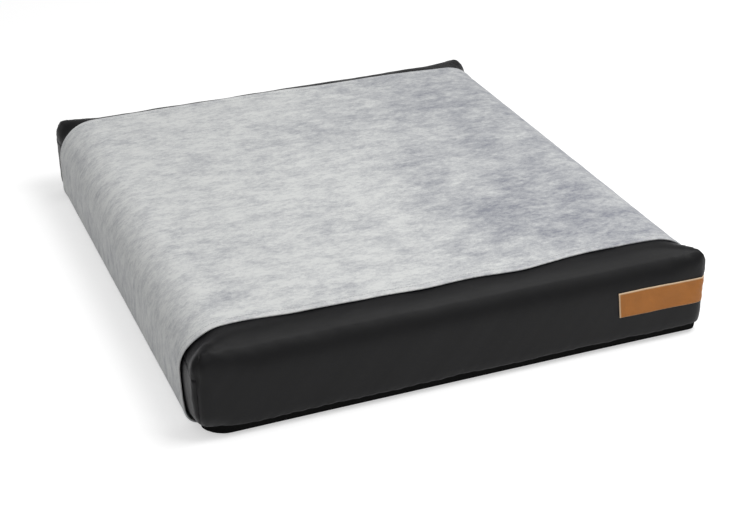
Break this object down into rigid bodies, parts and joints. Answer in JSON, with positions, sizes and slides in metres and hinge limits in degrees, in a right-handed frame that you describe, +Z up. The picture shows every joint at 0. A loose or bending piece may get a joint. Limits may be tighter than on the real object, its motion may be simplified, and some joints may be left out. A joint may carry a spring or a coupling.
{
  "type": "dog mattress",
  "caption": "Rectangular foam dog mattress in a zipped black case, with a removable grey velour cover band that wraps over the top and a blank leather label at one front corner.",
  "frame": {"origin": "on the floor, under the middle of the whole object's box", "axes": "+Z up; -Y is the front, with the label; +X is to the right of someone facing the front; the cover slides off towards +Y, at the back, where the zip is"},
  "size_m": [0.8, 0.9094, 0.145],
  "materials": {
    "case_cloth": "matte",
    "base_cloth": "matte",
    "velour": "matte",
    "liner_film": "matte",
    "soft_foam": "matte",
    "firm_foam": "matte",
    "hook_tape": "matte",
    "loop_tape": "matte",
    "leather": "satin",
    "zip_cloth": "matte",
    "zip_nylon": "satin",
    "zip_metal": "satin"
  },
  "bodies": {
    "mattress": {"comfort_foam": "soft_foam", "base_foam": "firm_foam", "foam_liner": "liner_film", "case_top_panel": "case_cloth", "case_left_panel": "case_cloth", "case_right_panel": "case_cloth", "case_back_panel": "case_cloth", "case_base_panel": "base_cloth", "loop_strip_left": "loop_tape", "loop_strip_right": "loop_tape", "leather_label": "leather", "zip_tape_upper": "zip_cloth", "zip_tape_lower": "zip_cloth", "zip_teeth_upper": "zip_nylon", "zip_teeth_lower": "zip_nylon", "zip_stops": "zip_metal"},
    "cover": {"cover_band": "velour", "hook_strip_left": "hook_tape", "hook_strip_right": "hook_tape"},
    "slider": {"zip_slider": "zip_metal"},
    "pull": {"zip_pull": "zip_metal"}
  },
  "joints": [
    {"name": "cover_slide", "type": "slide", "parent": "mattress", "child": "cover", "axis": [0, 1, 0], "range_m": [0, 0.86]},
    {"name": "zip_slide", "type": "slide", "parent": "mattress", "child": "slider", "axis": [-1, 0, 0], "range_m": [0, 0.637]},
    {"name": "pull_swing", "type": "hinge", "parent": "slider", "child": "pull", "pos_m": [0.3185, 0.4524, 0.0658], "axis": [1, 0, 0], "range_deg": [-8, 175]}
  ]
}
